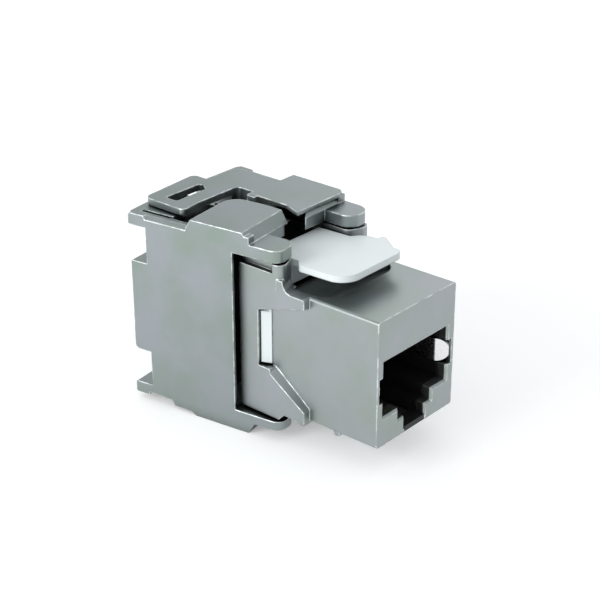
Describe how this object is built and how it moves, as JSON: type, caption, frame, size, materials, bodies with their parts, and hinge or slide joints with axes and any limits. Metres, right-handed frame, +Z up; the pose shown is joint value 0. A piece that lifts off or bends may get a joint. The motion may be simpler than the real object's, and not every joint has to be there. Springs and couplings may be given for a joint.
{
  "type": "keystone jack",
  "caption": "Shielded keystone jack: die-cast body with a plug port, two hinged rear wings that clamp the cable, a sliding wire cap and a white panel latch.",
  "frame": {"origin": "middle of the lower edge of the nose's front face", "axes": "+Y from the plug side to the cable side, +Z up with the panel latch on top, +X to the right seen from the plug side"},
  "size_m": [0.0203, 0.0363, 0.0263],
  "materials": {
    "zinc_casting": "satin nickel plate on a zinc die casting",
    "white_moulding": "white moulded plastic, soft sheen",
    "pale_moulding": "pale grey moulded plastic",
    "black_moulding": "black moulded plastic",
    "gold_contact": "gold plate on spring bronze",
    "tinned_terminal": "tinned bronze",
    "bright_spring": "bright rolled spring strip",
    "board": "black solder mask on glass-fibre board"
  },
  "bodies": {
    "housing": {"front_housing": "zinc_casting", "port_insert": "black_moulding", "contact_carrier": "black_moulding", "contact_1": "gold_contact", "contact_2": "gold_contact", "contact_3": "gold_contact", "contact_4": "gold_contact", "contact_5": "gold_contact", "contact_6": "gold_contact", "contact_7": "gold_contact", "contact_8": "gold_contact", "circuit_board": "board", "idc_block": "black_moulding", "idc_1": "tinned_terminal", "idc_2": "tinned_terminal", "idc_3": "tinned_terminal", "idc_4": "tinned_terminal", "idc_5": "tinned_terminal", "idc_6": "tinned_terminal", "idc_7": "tinned_terminal", "idc_8": "tinned_terminal", "shield_spring_left": "bright_spring", "shield_spring_right": "bright_spring"},
    "left_wing": {"left_wing": "zinc_casting"},
    "right_wing": {"right_wing": "zinc_casting"},
    "panel_latch": {"panel_latch": "white_moulding"},
    "wire_cap": {"wire_cap": "pale_moulding"}
  },
  "joints": [
    {"name": "left_wing_hinge", "type": "hinge", "parent": "housing", "child": "left_wing", "pos_m": [-0.00665, 0.0159, 0.009], "axis": [0, 0, 1], "range_deg": [-8, 82]},
    {"name": "right_wing_hinge", "type": "hinge", "parent": "housing", "child": "right_wing", "pos_m": [0.00665, 0.0159, 0.009], "axis": [0, 0, -1], "range_deg": [0, 90]},
    {"name": "latch_press", "type": "hinge", "parent": "housing", "child": "panel_latch", "pos_m": [0, 0.0176, 0.0173], "axis": [1, 0, 0], "range_deg": [0, 7], "stiffness_Nm_per_rad": 0.2},
    {"name": "cap_slide", "type": "slide", "parent": "housing", "child": "wire_cap", "axis": [0, 1, 0], "range_m": [0, 0.0025]}
  ]
}
